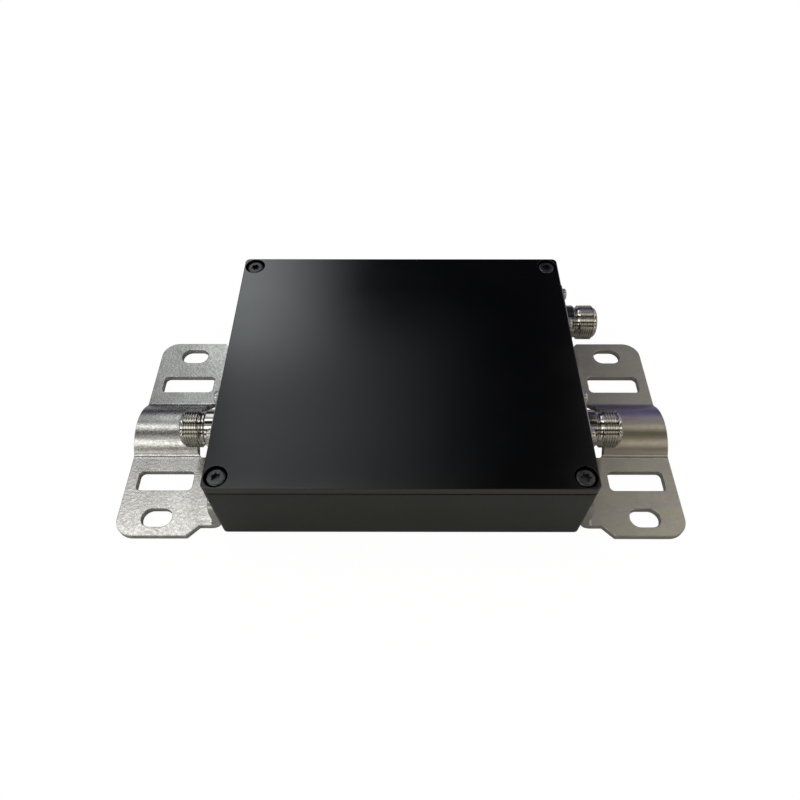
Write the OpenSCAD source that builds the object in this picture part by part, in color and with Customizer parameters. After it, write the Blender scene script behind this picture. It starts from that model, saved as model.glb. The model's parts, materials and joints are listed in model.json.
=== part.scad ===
// RF duplexer for mounting on a pole or a wall, in millimetres.
// A milled housing holds two rows of coaxial resonators, the low band in front
// and the high band behind. A tuning plate with adjusting screws closes the
// rows, and a screwed cover goes over it. Three threaded coaxial jacks sit on
// the side walls, and a bent sheet bracket with a pole saddle on each side.
// The origin is the centre of the housing's underside, +Z is up, +X points to
// the side with two jacks and -Y to the plain front wall.

/* [Housing] */
// Width of the housing between its side walls' outer faces
box_w = 145; // [141:1:160]
// Depth of the housing from front to back
box_d = 120; // [118:1:136]
// Radius of the upright corners of housing and cover
box_corner_r = 2; // [1:0.5:3]
// Thickness of the floor under the resonators
floor_t = 5; // [4.5:0.5:8]
// Clear height of the chambers, from the floor to the tuning plate
chamber_h = 19; // [19:0.5:24]
// Room above the tuning plate, up to the housing's rim
head_room = 6.2; // [6:0.1:9]
// Thickness of the outer wall beside the tuning plate
rim_wall = 3.6; // [3.4:0.1:5]
// Width of the ledge that carries the tuning plate
ledge_w = 4.4; // [4.2:0.1:5]
// Side of the square corner posts that take the cover screws
post_w = 10; // [9.5:0.5:12]
// Radius of the chambers' upright corners
chamber_r = 4; // [2:0.5:5]

/* [Chambers] */
// Chambers in each row
columns = 4; // [3:1:4]
// Thickness of the walls between chambers
web_t = 4; // [3.6:0.1:5]
// Place of the wall between the two rows, along Y
web_y = 4; // [1:1:6]
// Width of the coupling window between two chambers of a row
iris_w = 18; // [14:1:22]
// Height of the sill below a coupling window
iris_sill = 4; // [2:0.5:6]
// Width of the wire window between the rows, at the antenna end
wire_window_w = 10; // [8:0.5:11]

/* [Cover] */
// Thickness of the cover
cover_t = 4; // [3.5:0.5:6]
// Thickness of the seal that shows as a gap below the cover
cover_gap = 0.8; // [0.5:0.1:1.5]
// Width of the cover's seal
gasket_w = 1.6; // [1.2:0.1:1.7]
// Distance of the seal from the housing's outer face
gasket_inset = 0.9; // [0.6:0.1:1]
// Distance of the cover screws from both edges
cover_screw_inset = 5; // [4.8:0.1:5.5]
// Diameter of the recess round a cover screw's head
counterbore_d = 8.8; // [8.6:0.1:9.5]
// Depth of the recess round a cover screw's head
counterbore_depth = 2.4; // [2:0.1:2.8]
// Thread diameter of the cover screws
cover_screw_d = 4; // [3:0.5:4]
// Head diameter of the cover screws
cover_head_d = 7.4; // [6.5:0.1:7.8]
// Head height of the cover screws
cover_head_h = 1.8; // [1.5:0.1:1.9]
// Length of the cover screws under the head
cover_screw_l = 12; // [8:1:16]

/* [Tuning plate] */
// Thickness of the tuning plate
plate_t = 3; // [2.5:0.1:4]
// Gap between the tuning plate and the rim
plate_gap = 0.3; // [0.1:0.1:0.6]
// Thread diameter of the plate's small screws
plate_screw_d = 2.5; // [2:0.5:2.5]
// Head diameter of the plate's small screws
plate_head_d = 4.4; // [4:0.1:5]
// Head height of the plate's small screws
plate_head_h = 1.6; // [1.2:0.1:2]
// Depth that the plate's small screws reach into the housing
plate_screw_grip = 4; // [3:0.5:6]

/* [Resonators] */
// Post diameter of the low band resonators
low_post_d = 11; // [10:0.5:13]
// Gap between the low band resonators' caps and the webs beside them
low_cap_gap = 5.6; // [4.5:0.1:7]
// Height of the low band resonators
low_h = 15; // [14:0.5:15.5]
// Post diameter of the high band resonators
high_post_d = 9.6; // [9:0.2:12]
// Gap between the high band resonators' caps and the webs beside them
high_cap_gap = 7.6; // [6:0.1:8.2]
// Height of the high band resonators
high_h = 13; // [12.5:0.5:14.5]
// Thickness of a resonator's cap
cap_t = 2; // [1.5:0.1:3]
// Bore in a resonator's top, around the tuning screw
resonator_bore_d = 6.6; // [6.2:0.1:7.4]
// Solid height below that bore
resonator_base_t = 3.5; // [3:0.1:3.7]
// Thread diameter of the screw that holds a resonator
resonator_screw_d = 3; // [2.5:0.5:3]
// Head diameter of the screw that holds a resonator
resonator_head_d = 5.5; // [5:0.1:6]
// Head height of the screw that holds a resonator
resonator_head_h = 2.8; // [2:0.1:2.9]
// Depth that this screw reaches into the floor
resonator_screw_grip = 3.5; // [2.5:0.1:3.8]
// Height of the wire taps above the floor
tap_h = 7; // [6:0.5:8]
// Diameter of the tap wires
wire_d = 1.2; // [0.8:0.1:1.3]

/* [Adjusting screws] */
// Thread diameter of the tuning screws over the resonators
tuning_d = 5; // [4:0.5:5]
// Depth that a tuning screw dips into its resonator
tuning_dip = 3; // [1.5:0.5:3]
// Thread diameter of the coupling screws over the windows
coupling_d = 4; // [3:0.5:5]
// Depth that a coupling screw hangs below the tuning plate
coupling_dip = 8; // [5:0.5:9]
// Length of an adjusting screw that stands above its lock nut
screw_proud = 1.3; // [1.2:0.1:1.4]
// Height of the tuning screws' lock nuts
tuning_nut_h = 2.7; // [2:0.1:2.7]
// Width across the flats of the tuning screws' lock nuts
tuning_nut_af = 8; // [7:0.5:9]
// Height of the coupling screws' lock nuts
coupling_nut_h = 2.2; // [1.8:0.1:2.7]
// Width across the flats of the coupling screws' lock nuts
coupling_nut_af = 7; // [6.5:0.5:8]
// Width of the driver slot in an adjusting screw
driver_slot_w = 0.9; // [0.6:0.1:1.2]
// Depth of the driver slot in an adjusting screw
driver_slot_depth = 1.1; // [0.8:0.1:1.6]

/* [Jacks] */
// Height of the jacks' axes above the underside
jack_z = 19; // [18.5:0.5:19.5]
// Place of the antenna jack and of the low band jack, along Y
jack_front_y = -22; // [-24:1:-20]
// Place of the high band jack, along Y
jack_rear_y = 37.5; // [36:0.5:38]
// Distance of a jack's mouth from the side wall
jack_reach = 18.2; // [17.6:0.1:22]
// Side of the square flange
flange_w = 25.4; // [25:0.1:25.4]
// Thickness of the flange
flange_t = 2.5; // [2:0.1:3]
// Radius of the flange's corners
flange_corner_r = 1.6; // [1:0.1:3]
// Diameter of the plain collar behind the thread
collar_d = 15.9; // [15:0.1:16.5]
// Distance from the side wall to the collar's outer end
collar_end = 7.4; // [6.5:0.1:8]
// Diameter of the undercuts beside the thread
undercut_d = 14; // [13.5:0.1:14.5]
// Diameter of the coupling thread
thread_d = 15.88; // [15.8:0.01:16]
// Distance from the side wall to the thread's inner end
thread_start = 10.2; // [9.4:0.1:10.6]
// Length of the coupling thread
thread_l = 6; // [5:0.5:7]
// Chamfer at the jack's mouth
mouth_chamfer = 0.8; // [0.4:0.1:1]
// Bore of the outer contact at the mouth
mouth_d = 8.1; // [8:0.05:8.3]
// Depth of the insulator's face behind the mouth
mouth_depth = 9.1; // [8.5:0.1:9.5]
// Diameter of the insulator inside the shell
insulator_d = 10; // [9:0.1:10.6]
// Diameter of the insulator where it passes the wall
insulator_neck_d = 8; // [7:0.1:8.4]
// Diameter of the centre contact
contact_d = 3.04; // [3:0.01:3.2]
// Depth of the contact's tip behind the mouth
contact_recess = 4.15; // [4.1:0.05:5.2]
// Bore of the contact's socket
socket_d = 1.68; // [1.6:0.02:1.8]
// Depth of the contact's socket
socket_depth = 5; // [4:0.5:7]
// Width of the slots in the contact's socket
socket_slot_w = 0.35; // [0.2:0.05:0.5]
// Length of the contact that stands in the chamber
contact_tail = 3; // [2.5:0.1:3.5]
// Thread diameter of the flange screws
jack_screw_d = 3; // [2.5:0.5:3]
// Head diameter of the flange screws
jack_head_d = 5.5; // [5:0.1:6]
// Head height of the flange screws
jack_head_h = 2; // [1.6:0.1:2.4]
// Depth that the flange screws reach into the wall
jack_screw_grip = 2.8; // [2:0.1:2.9]
// Mean diameter of the seal ring under the flange
seal_d = 16; // [15:0.5:17]
// Width of that seal ring
seal_w = 1.6; // [1.2:0.1:2]
// Depth of the groove that holds the seal ring
seal_depth = 1.1; // [0.8:0.1:1.3]

/* [Brackets] */
// Thickness of the bracket sheet
sheet_t = 3; // [2.5:0.1:3.5]
// Inner radius of the bend below the tabs
bend_r = 2; // [1.5:0.1:3]
// Distance that a bracket stands out from the side wall
bracket_reach = 43.5; // [43:0.5:60]
// Length of a bracket along Y
bracket_l = 100.8; // [98:0.2:108]
// Place of the bracket's middle, along Y
bracket_y = -12.6; // [-14:0.2:-12]
// Radius of the bracket's outer corners
bracket_corner_r = 7.5; // [3:0.5:9]
// Step back of the bracket's ends beside the housing
neck_step = 4.5; // [2:0.5:5]
// Distance of that step from the side wall
neck_w = 9.3; // [8:0.1:11]
// Radius of the pole saddle's upper face
saddle_r = 18; // [16:0.5:22]
// Rise of the saddle above the flat sheet
saddle_rise = 6; // [5:0.5:6.5]
// Fillet radius where the saddle meets the flat sheet
saddle_fillet_r = 3; // [2:0.5:3.5]
// Length of the window between the tabs
window_l = 28; // [26:0.5:28]
// Distance from the side wall to the window's outer edge
window_w = 15.5; // [14.5:0.5:16]
// Chamfer of the window's outer corners
window_chamfer = 1.5; // [1:0.5:4]
// Distance of the slots' centres from the side wall
slot_x = 27.25; // [26:0.25:28]
// Length of the oval bolt slots
oval_l = 12.4; // [10:0.1:14]
// Width of the oval bolt slots
oval_w = 8; // [6:0.1:8.4]
// Distance of the oval slots' centres from the bracket's ends
oval_inset = 8; // [7:0.1:10]
// Length of the strap slots
strap_l = 23.4; // [20:0.1:25]
// Width of the strap slots
strap_w = 9; // [6:0.1:9.4]
// Radius of the strap slots' corners
strap_r = 2; // [0.5:0.1:3]
// Distance between the centres of an oval slot and the strap slot beside it
slot_step = 16.9; // [15:0.1:18]
// Width of a tab that stands against the side wall
tab_w = 19; // [18:0.5:20]
// Height of the tabs above the underside
tab_h = 20; // [19:0.5:22]
// Radius of the tabs' upper corners
tab_corner_r = 8; // [3:0.5:8.5]
// Clearance along Y between the front tab and the jack's flange
tab_clearance = 4.8; // [3:0.1:4.8]
// Flat length along Y between the saddle's foot and the rear tab
tab_relief = 0.2; // [0.1:0.1:1]
// Thread diameter of the tab screws
tab_screw_d = 4; // [3:0.5:4]
// Head diameter of the tab screws
tab_head_d = 7.6; // [6.5:0.1:8]
// Head height of the tab screws
tab_head_h = 1.4; // [1.2:0.1:2]
// Depth that the tab screws' heads sit in the sheet
tab_head_sink = 1; // [0.8:0.1:1.2]
// Depth that the tab screws reach into the wall
tab_screw_grip = 5; // [4:0.5:5.5]
// Distance between the two screws of a tab
tab_screw_pitch = 9; // [9:0.5:10]
// Height of the tab screws above the underside
tab_screw_z = 13; // [12:0.5:14]

/* [Fits] */
// Radial gap of a screw in its own thread, and of what turns or slides
thread_gap = 0.03; // [0.01:0.01:0.08]
// Radial gap of a screw in a through hole
hole_gap = 0.15; // [0.1:0.05:0.3]
// Gap past the end of a blind hole's screw
blind_gap = 0.4; // [0.2:0.1:0.5]

/* [Hidden] */
$fn = 48;
// Overlap that lets a cut run clear through a face
cut = 1;
// Width that keeps a slot's end from closing to a full half circle
slot_end_flat = 0.002;
// Sides of a wire's skin
wire_sides = 8;
// Where a wire's path is cut on each of its runs, to soften the corners
soften_cuts = [0.25, 0.75];
// Length and width of a cross recess, as shares of the head's diameter
cross_length_share = 0.58;
cross_width_share = 0.13;
// Core, lobe circle and lobe diameter of a six-lobe recess, as shares of the head's diameter
lobe_core_share = 0.38;
lobe_circle_share = 0.38;
lobe_share = 0.13;
// Depth of a recess as a share of the head's height
recess_depth_share = 0.58;

JACKS = ["antenna", "low", "high"];
BANDS = ["low", "high"];
CHAMBERS = [for (i = [1 : columns]) i];
IRISES = [for (i = [1 : columns - 1]) i];

// Heights, from the underside up
ledge_z = floor_t + chamber_h;
plate_top = ledge_z + plate_t;
housing_h = plate_top + head_room;
cover_z = housing_h + cover_gap;
cover_top = cover_z + cover_t;
cover_seat_z = cover_top - counterbore_depth;

// Half sizes of the housing, its pocket for the plate and its chambers
side_x = box_w / 2;
front_y = box_d / 2;
rim_x = side_x - rim_wall;
rim_y = front_y - rim_wall;
inner_x = rim_x - ledge_w;
inner_y = rim_y - ledge_w;
post_x = side_x - post_w;
post_y = front_y - post_w;
wall_t = rim_wall + ledge_w;

// Chambers and the webs between them
chamber_w = (2 * inner_x - (columns - 1) * web_t) / columns;
column_pitch = chamber_w + web_t;
function row_y0(band) = band == "low" ? -inner_y : web_y + web_t / 2;
function row_y1(band) = band == "low" ? web_y - web_t / 2 : inner_y;
function row_y(band) = (row_y0(band) + row_y1(band)) / 2;
function chamber_x(i) = (i - (columns + 1) / 2) * column_pitch;
function iris_x(i) = chamber_x(i) + column_pitch / 2;

// Resonators of each band
function post_d(band) = band == "low" ? low_post_d : high_post_d;
function cap_gap(band) = band == "low" ? low_cap_gap : high_cap_gap;
function cap_d(band) = chamber_w - 2 * cap_gap(band);
function resonator_h(band) = band == "low" ? low_h : high_h;

// Places of the small screws that hold the tuning plate, their heads clear of the rim
rim_clearance = plate_head_d / 2 + plate_gap;
ledge_x = rim_x - rim_clearance;
ledge_y = rim_y - rim_clearance;
side_screw_y = post_y - plate_head_d;
PLATE_SCREWS = concat(
    [for (i = IRISES, y = [-ledge_y, web_y, ledge_y]) [iris_x(i), y]],
    [for (i = CHAMBERS, y = [-ledge_y, web_y, ledge_y]) [chamber_x(i), y]],
    [for (s = [-1, 1], y = [-side_screw_y, web_y, side_screw_y]) [s * ledge_x, y]]);
COVER_SCREWS = [for (x = [-1, 1], y = [-1, 1])
    [x * (side_x - cover_screw_inset), y * (front_y - cover_screw_inset)]];

// Jacks
function jack_side(jack) = jack == "antenna" ? -1 : 1;
function jack_y(jack) = jack == "high" ? jack_rear_y : jack_front_y;
insulator_front = jack_reach - mouth_depth;
thread_end = thread_start + thread_l;
contact_tip = jack_reach - contact_recess;
// The flange's screws sit midway between the collar and the flange's corners
flange_pitch = flange_w / 2 + collar_d / (2 * sqrt(2));
FLANGE_SCREWS = [for (x = [-1, 1], y = [-1, 1]) [x * flange_pitch / 2, y * flange_pitch / 2]];

// Brackets: the flat sheet starts where the bend below the tabs ends
flat_x = side_x + sheet_t + bend_r;
outer_x = side_x + bracket_reach;
saddle_z = sheet_t + saddle_rise - saddle_r;
fillet_z = sheet_t + saddle_fillet_r;
fillet_y = sqrt(pow(saddle_r + saddle_fillet_r, 2) - pow(fillet_z - saddle_z, 2));
oval_pitch = bracket_l - 2 * oval_inset;
strap_pitch = oval_pitch - 2 * slot_step;
// The front tab clears the jack's flange, and the rear tab the saddle's foot
tab_front_y = jack_front_y - flange_w / 2 - tab_clearance - tab_w / 2;
tab_rear_y = bracket_y + fillet_y + tab_relief + tab_w / 2;
TAB_SCREWS = [for (y = [tab_front_y, tab_rear_y], s = [-1, 1]) y + s * tab_screw_pitch / 2];

// A flat rectangle about the origin with true round corners
module rounded_rect(w, d, r) {
    square([w - 2 * r, d], center = true);
    square([w, d - 2 * r], center = true);
    for (x = [-1, 1], y = [-1, 1])
        translate([x * (w / 2 - r), y * (d / 2 - r)])
            circle(r);
}

// What a square corner at the origin loses when it is rounded, corner in +X +Y
module corner_waste(r) {
    difference() {
        translate([-r, -r])
            square(r + cut);
        translate([-r, -r])
            circle(r);
    }
}

// A path with each of its corners cut once, its ends kept
function soften(path) = concat(
    [path[0]],
    [for (i = [0 : len(path) - 2], s = soften_cuts) path[i] + s * (path[i + 1] - path[i])],
    [path[len(path) - 1]]);
function unit(v) = v / norm(v);
function tangent(path, i) = unit(path[min(i + 1, len(path) - 1)] - path[max(i - 1, 0)]);

// A wire of diameter d swept along points, which never run along the aside vector
module wire(points, d, aside) {
    path = soften(soften(points));
    n = wire_sides;
    last = (len(path) - 1) * n;
    skin = [for (i = [0 : len(path) - 1])
        let (t = tangent(path, i), u = unit(cross(t, aside)), v = cross(t, u))
        for (k = [0 : n - 1]) path[i] + d / 2 * (cos(360 * k / n) * u + sin(360 * k / n) * v)];
    polyhedron(skin, concat(
        [[for (k = [0 : n - 1]) k]],
        [for (i = [0 : n : last - n], k = [0 : n - 1])
            [i + k, i + n + k, i + n + (k + 1) % n, i + (k + 1) % n]],
        [[for (k = [n - 1 : -1 : 0]) last + k]]));
}

// A screw with its head's underside at z = 0, its head up and its shank down
module screw(d, l, head_d, head_h) {
    cylinder(d = head_d, h = head_h);
    translate([0, 0, -l])
        cylinder(d = d, h = l);
}

// Cross recess in a head whose top is at z = 0
module cross_recess(head_d, depth) {
    for (a = [0, 90])
        rotate(a)
            cube([head_d * cross_length_share, head_d * cross_width_share, 2 * depth], center = true);
}

// Six-lobe recess in a head whose top is at z = 0
module lobe_recess(head_d, depth) {
    translate([0, 0, -depth]) {
        cylinder(d = head_d * lobe_core_share, h = depth + cut);
        for (a = [0 : 60 : 300])
            rotate(a)
                translate([head_d * lobe_circle_share / 2, 0, 0])
                    cylinder(d = head_d * lobe_share, h = depth + cut);
    }
}

module cross_screw(d, l, head_d, head_h) {
    difference() {
        screw(d, l, head_d, head_h);
        translate([0, 0, head_h])
            cross_recess(head_d, head_h * recess_depth_share);
    }
}

// Puts its children on a jack's axis, z = 0 on the side wall and +Z outwards
module at_jack(jack) {
    translate([jack_side(jack) * side_x, jack_y(jack), jack_z])
        rotate([0, jack_side(jack) * 90, 0])
            children();
}

// Puts its children at every screw of one bracket, z = 0 on the tab's face
module at_tab_screws() {
    for (y = TAB_SCREWS)
        translate([side_x + sheet_t, y, tab_screw_z])
            rotate([0, 90, 0])
                children();
}

// The milled housing

module plate_pocket_outline(gap) {
    square([2 * (rim_x - gap), 2 * (post_y - gap)], center = true);
    square([2 * (post_x - gap), 2 * (rim_y - gap)], center = true);
}

module chamber_outline(band, i) {
    translate([chamber_x(i), row_y(band)])
        rounded_rect(chamber_w, row_y1(band) - row_y0(band), chamber_r);
}

module housing_cavities() {
    translate([0, 0, ledge_z])
        linear_extrude(housing_h)
            plate_pocket_outline(0);
    for (band = BANDS, i = CHAMBERS)
        translate([0, 0, floor_t])
            linear_extrude(housing_h)
                chamber_outline(band, i);
    for (band = BANDS, i = IRISES)
        translate([iris_x(i), row_y(band), floor_t + iris_sill + housing_h / 2])
            cube([web_t + 2 * cut, iris_w, housing_h], center = true);
    translate([-inner_x, web_y - web_t / 2 - chamber_r, floor_t + iris_sill])
        cube([wire_window_w, web_t + 2 * chamber_r, housing_h]);
}

module housing_holes() {
    for (p = COVER_SCREWS)
        translate([p.x, p.y, cover_seat_z - cover_screw_l - blind_gap])
            cylinder(r = cover_screw_d / 2 + thread_gap, h = housing_h);
    for (p = PLATE_SCREWS)
        translate([p.x, p.y, ledge_z - plate_screw_grip - blind_gap])
            cylinder(r = plate_screw_d / 2 + thread_gap, h = housing_h);
    for (band = BANDS, i = CHAMBERS)
        translate([chamber_x(i), row_y(band), floor_t - resonator_screw_grip - blind_gap])
            cylinder(r = resonator_screw_d / 2 + thread_gap, h = floor_t);
    for (jack = JACKS)
        at_jack(jack) {
            translate([0, 0, -wall_t - cut])
                cylinder(r = insulator_neck_d / 2 + thread_gap, h = wall_t + 2 * cut);
            for (p = FLANGE_SCREWS)
                translate([p.x, p.y, -jack_screw_grip - blind_gap])
                    cylinder(r = jack_screw_d / 2 + thread_gap, h = wall_t);
        }
    for (side = [0, 1])
        mirror([side, 0, 0])
            at_tab_screws()
                translate([0, 0, -sheet_t - tab_screw_grip - blind_gap])
                    cylinder(r = tab_screw_d / 2 + thread_gap, h = wall_t);
}

module housing() {
    color("#262628")
        difference() {
            linear_extrude(housing_h)
                rounded_rect(box_w, box_d, box_corner_r);
            housing_cavities();
            housing_holes();
        }
}

// The tuning plate, the cover and what holds them

module tuning_plate() {
    color("silver")
        translate([0, 0, ledge_z])
            difference() {
                linear_extrude(plate_t)
                    plate_pocket_outline(plate_gap);
                for (p = PLATE_SCREWS)
                    translate([p.x, p.y, -cut])
                        cylinder(r = plate_screw_d / 2 + hole_gap, h = plate_t + 2 * cut);
                for (band = BANDS, i = CHAMBERS)
                    translate([chamber_x(i), row_y(band), -cut])
                        cylinder(r = tuning_d / 2 + thread_gap, h = plate_t + 2 * cut);
                for (band = BANDS, i = IRISES)
                    translate([iris_x(i), row_y(band), -cut])
                        cylinder(r = coupling_d / 2 + thread_gap, h = plate_t + 2 * cut);
            }
}

module plate_screws() {
    color("gainsboro")
        for (p = PLATE_SCREWS)
            translate([p.x, p.y, plate_top])
                cross_screw(plate_screw_d, plate_t + plate_screw_grip, plate_head_d, plate_head_h);
}

module cover() {
    color("#303033")
        difference() {
            translate([0, 0, cover_z])
                linear_extrude(cover_t)
                    rounded_rect(box_w, box_d, box_corner_r);
            for (p = COVER_SCREWS)
                translate([p.x, p.y, cover_z]) {
                    translate([0, 0, cover_t - counterbore_depth])
                        cylinder(d = counterbore_d, h = cover_t);
                    translate([0, 0, -cut])
                        cylinder(r = cover_screw_d / 2 + hole_gap, h = cover_t + 2 * cut);
                }
        }
}

module cover_gasket() {
    outer_inset = 2 * gasket_inset;
    inner_inset = 2 * (gasket_inset + gasket_w);
    color("#101010")
        translate([0, 0, housing_h])
            linear_extrude(cover_gap)
                difference() {
                    rounded_rect(box_w - outer_inset, box_d - outer_inset, box_corner_r / 2);
                    square([box_w - inner_inset, box_d - inner_inset], center = true);
                }
}

module cover_screws() {
    color("#1c1c1e")
        for (p = COVER_SCREWS)
            translate([p.x, p.y, cover_seat_z])
                difference() {
                    screw(cover_screw_d, cover_screw_l, cover_head_d, cover_head_h);
                    translate([0, 0, cover_head_h])
                        lobe_recess(cover_head_d, cover_head_h * recess_depth_share);
                }
}

// Resonators, wires and adjusting screws

// side is the way the tap hole faces along X, or 0 for none
module resonator(band, i) {
    side = i == 1 ? -1 : i == columns ? 1 : 0;
    color("#d8c9a0")
        translate([chamber_x(i), row_y(band), floor_t])
            difference() {
                union() {
                    cylinder(d = post_d(band), h = resonator_h(band));
                    translate([0, 0, resonator_h(band) - cap_t])
                        cylinder(d = cap_d(band), h = cap_t);
                }
                translate([0, 0, resonator_base_t])
                    cylinder(d = resonator_bore_d, h = resonator_h(band));
                translate([0, 0, -cut])
                    cylinder(r = resonator_screw_d / 2 + hole_gap, h = resonator_base_t + 2 * cut);
                if (side != 0)
                    translate([0, 0, tap_h])
                        rotate([0, side * 90, 0])
                            cylinder(r = wire_d / 2 + thread_gap, h = cap_d(band));
            }
}

module resonator_screws() {
    color("gainsboro")
        for (band = BANDS, i = CHAMBERS)
            translate([chamber_x(i), row_y(band), floor_t + resonator_base_t])
                cross_screw(resonator_screw_d, resonator_base_t + resonator_screw_grip,
                            resonator_head_d, resonator_head_h);
}

// A slotted screw from z = bottom to z = top
module adjusting_screw(d, bottom, top) {
    difference() {
        translate([0, 0, bottom])
            cylinder(d = d, h = top - bottom);
        translate([0, 0, top])
            cube([d + cut, driver_slot_w, 2 * driver_slot_depth], center = true);
    }
}

module tuning_screw(band, i) {
    color("#c8b070")
        translate([chamber_x(i), row_y(band), 0])
            adjusting_screw(tuning_d, floor_t + resonator_h(band) - tuning_dip,
                            plate_top + tuning_nut_h + screw_proud);
}

module coupling_screw(band, i) {
    color("#c8b070")
        translate([iris_x(i), row_y(band), 0])
            adjusting_screw(coupling_d, ledge_z - coupling_dip,
                            plate_top + coupling_nut_h + screw_proud);
}

module lock_nut(af, h, d) {
    difference() {
        cylinder(d = af / cos(30), h = h, $fn = 6);
        translate([0, 0, -cut])
            cylinder(r = d / 2 + thread_gap, h = h + 2 * cut);
    }
}

module tuning_lock_nuts() {
    color("silver")
        for (band = BANDS, i = CHAMBERS)
            translate([chamber_x(i), row_y(band), plate_top])
                lock_nut(tuning_nut_af, tuning_nut_h, tuning_d);
}

module coupling_lock_nuts() {
    color("silver")
        for (band = BANDS, i = IRISES)
            translate([iris_x(i), row_y(band), plate_top])
                lock_nut(coupling_nut_af, coupling_nut_h, coupling_d);
}

// Where a wire enters the tap hole of an end resonator, and where its straight
// run into that hole starts
function tap_end(band, side) =
    [side * (chamber_x(columns) + resonator_bore_d / 2 + wire_d / 4), row_y(band), floor_t + tap_h];
function tap_run(band, side) =
    tap_end(band, side) + [side * ((post_d(band) - resonator_bore_d) / 2 + wire_d), 0, 0];
// Where a wire leaves the solder cup of a jack's contact
function cup_floor(jack) =
    [jack_side(jack) * (inner_x - contact_tail + wire_d), jack_y(jack), jack_z];
function cup_exit(jack) = cup_floor(jack) - [jack_side(jack) * 2 * wire_d, 0, 0];

module tap_wire(jack, band) {
    color("#c07840")
        wire([cup_floor(jack), cup_exit(jack), tap_run(band, jack_side(jack)),
              tap_end(band, jack_side(jack))], wire_d, [0, 1, 0]);
}

// The second antenna wire starts on the side of the contact's tail, follows
// the left wall through the wire window, and ends in the high band's tap
module antenna_wire_high() {
    tail_x = -(inner_x - contact_tail / 2);
    wall_x = -(inner_x - wire_window_w / 2);
    mid_z = (jack_z + floor_t + tap_h) / 2;
    color("#c07840")
        wire([[tail_x, jack_front_y + contact_d / 2, jack_z],
              [tail_x, jack_front_y + 2 * contact_d, jack_z],
              [wall_x, web_y - web_t, mid_z],
              [wall_x, web_y + web_t, mid_z],
              tap_run("high", -1),
              tap_end("high", -1)], wire_d, [0, 0, 1]);
}

// Jacks

module jack_shell(jack) {
    color("#c9c6c2")
        at_jack(jack)
            difference() {
                union() {
                    linear_extrude(flange_t)
                        rounded_rect(flange_w, flange_w, flange_corner_r);
                    cylinder(d = collar_d, h = collar_end);
                    translate([0, 0, collar_end])
                        cylinder(d1 = collar_d, d2 = undercut_d, h = (collar_d - undercut_d) / 2);
                    cylinder(d = undercut_d, h = jack_reach - mouth_chamfer);
                    translate([0, 0, jack_reach - mouth_chamfer])
                        cylinder(d1 = undercut_d, d2 = undercut_d - 2 * mouth_chamfer,
                                 h = mouth_chamfer);
                    translate([0, 0, thread_start])
                        cylinder(d = thread_d, h = thread_l);
                }
                translate([0, 0, insulator_front - cut])
                    cylinder(d = mouth_d, h = mouth_depth + 2 * cut);
                translate([0, 0, -cut])
                    cylinder(r = insulator_d / 2 + thread_gap, h = insulator_front + cut);
                for (p = FLANGE_SCREWS)
                    translate([p.x, p.y, -cut])
                        cylinder(r = jack_screw_d / 2 + hole_gap, h = flange_t + 2 * cut);
                translate([0, 0, -cut])
                    difference() {
                        cylinder(d = seal_d + seal_w + 2 * thread_gap, h = seal_depth + cut);
                        cylinder(d = seal_d - seal_w - 2 * thread_gap, h = seal_depth + cut);
                    }
            }
}

module jack_insulator(jack) {
    color("#f2f0ea")
        at_jack(jack)
            difference() {
                union() {
                    cylinder(d = insulator_d, h = insulator_front);
                    translate([0, 0, -wall_t])
                        cylinder(d = insulator_neck_d, h = wall_t);
                }
                translate([0, 0, -wall_t - cut])
                    cylinder(r = contact_d / 2 + thread_gap, h = wall_t + jack_reach);
            }
}

module jack_contact(jack) {
    tail_z = -wall_t - contact_tail;
    cup_l = contact_tail - wire_d;
    color("#d4af50")
        at_jack(jack)
            difference() {
                translate([0, 0, tail_z])
                    cylinder(d = contact_d, h = contact_tip - tail_z);
                translate([0, 0, contact_tip - socket_depth])
                    cylinder(d = socket_d, h = socket_depth + cut);
                for (a = [0, 90])
                    rotate(a)
                        translate([0, 0, contact_tip])
                            cube([contact_d + cut, socket_slot_w, 2 * socket_depth - contact_d],
                                 center = true);
                translate([0, 0, tail_z - cut])
                    cylinder(r = wire_d / 2 + thread_gap, h = cup_l + cut);
            }
}

module jack_seal(jack) {
    color("#151515")
        at_jack(jack)
            difference() {
                cylinder(d = seal_d + seal_w, h = seal_depth);
                translate([0, 0, -cut])
                    cylinder(d = seal_d - seal_w, h = seal_depth + 2 * cut);
            }
}

module jack_screws(jack) {
    color("#b8b6b0")
        at_jack(jack)
            for (p = FLANGE_SCREWS)
                translate([p.x, p.y, flange_t])
                    cross_screw(jack_screw_d, flange_t + jack_screw_grip, jack_head_d, jack_head_h);
}

// Brackets, drawn for the +X side

// Outline of the flat sheet seen from above, without its slots
module bracket_outline() {
    half_l = bracket_l / 2;
    neck_x = side_x + neck_w;
    translate([0, bracket_y])
        difference() {
            translate([flat_x, -half_l])
                square([outer_x - flat_x, bracket_l]);
            for (end = [0, 1])
                mirror([0, end]) {
                    translate([outer_x, half_l])
                        corner_waste(bracket_corner_r);
                    polygon([[side_x, half_l - neck_step], [neck_x, half_l - neck_step],
                             [neck_x + neck_step, half_l], [neck_x + neck_step, half_l + cut],
                             [side_x, half_l + cut]]);
                }
        }
}

module bracket_openings() {
    window_x = side_x + window_w;
    half_window = window_l / 2;
    translate([0, bracket_y]) {
        polygon([[side_x, -half_window], [window_x - window_chamfer, -half_window],
                 [window_x, -half_window + window_chamfer], [window_x, half_window - window_chamfer],
                 [window_x - window_chamfer, half_window], [side_x, half_window]]);
        for (end = [-1, 1]) {
            translate([side_x + slot_x, end * strap_pitch / 2])
                rounded_rect(strap_l, strap_w, strap_r);
            translate([side_x + slot_x, end * oval_pitch / 2])
                rounded_rect(oval_l, oval_w, (oval_w - slot_end_flat) / 2);
        }
    }
}

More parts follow.
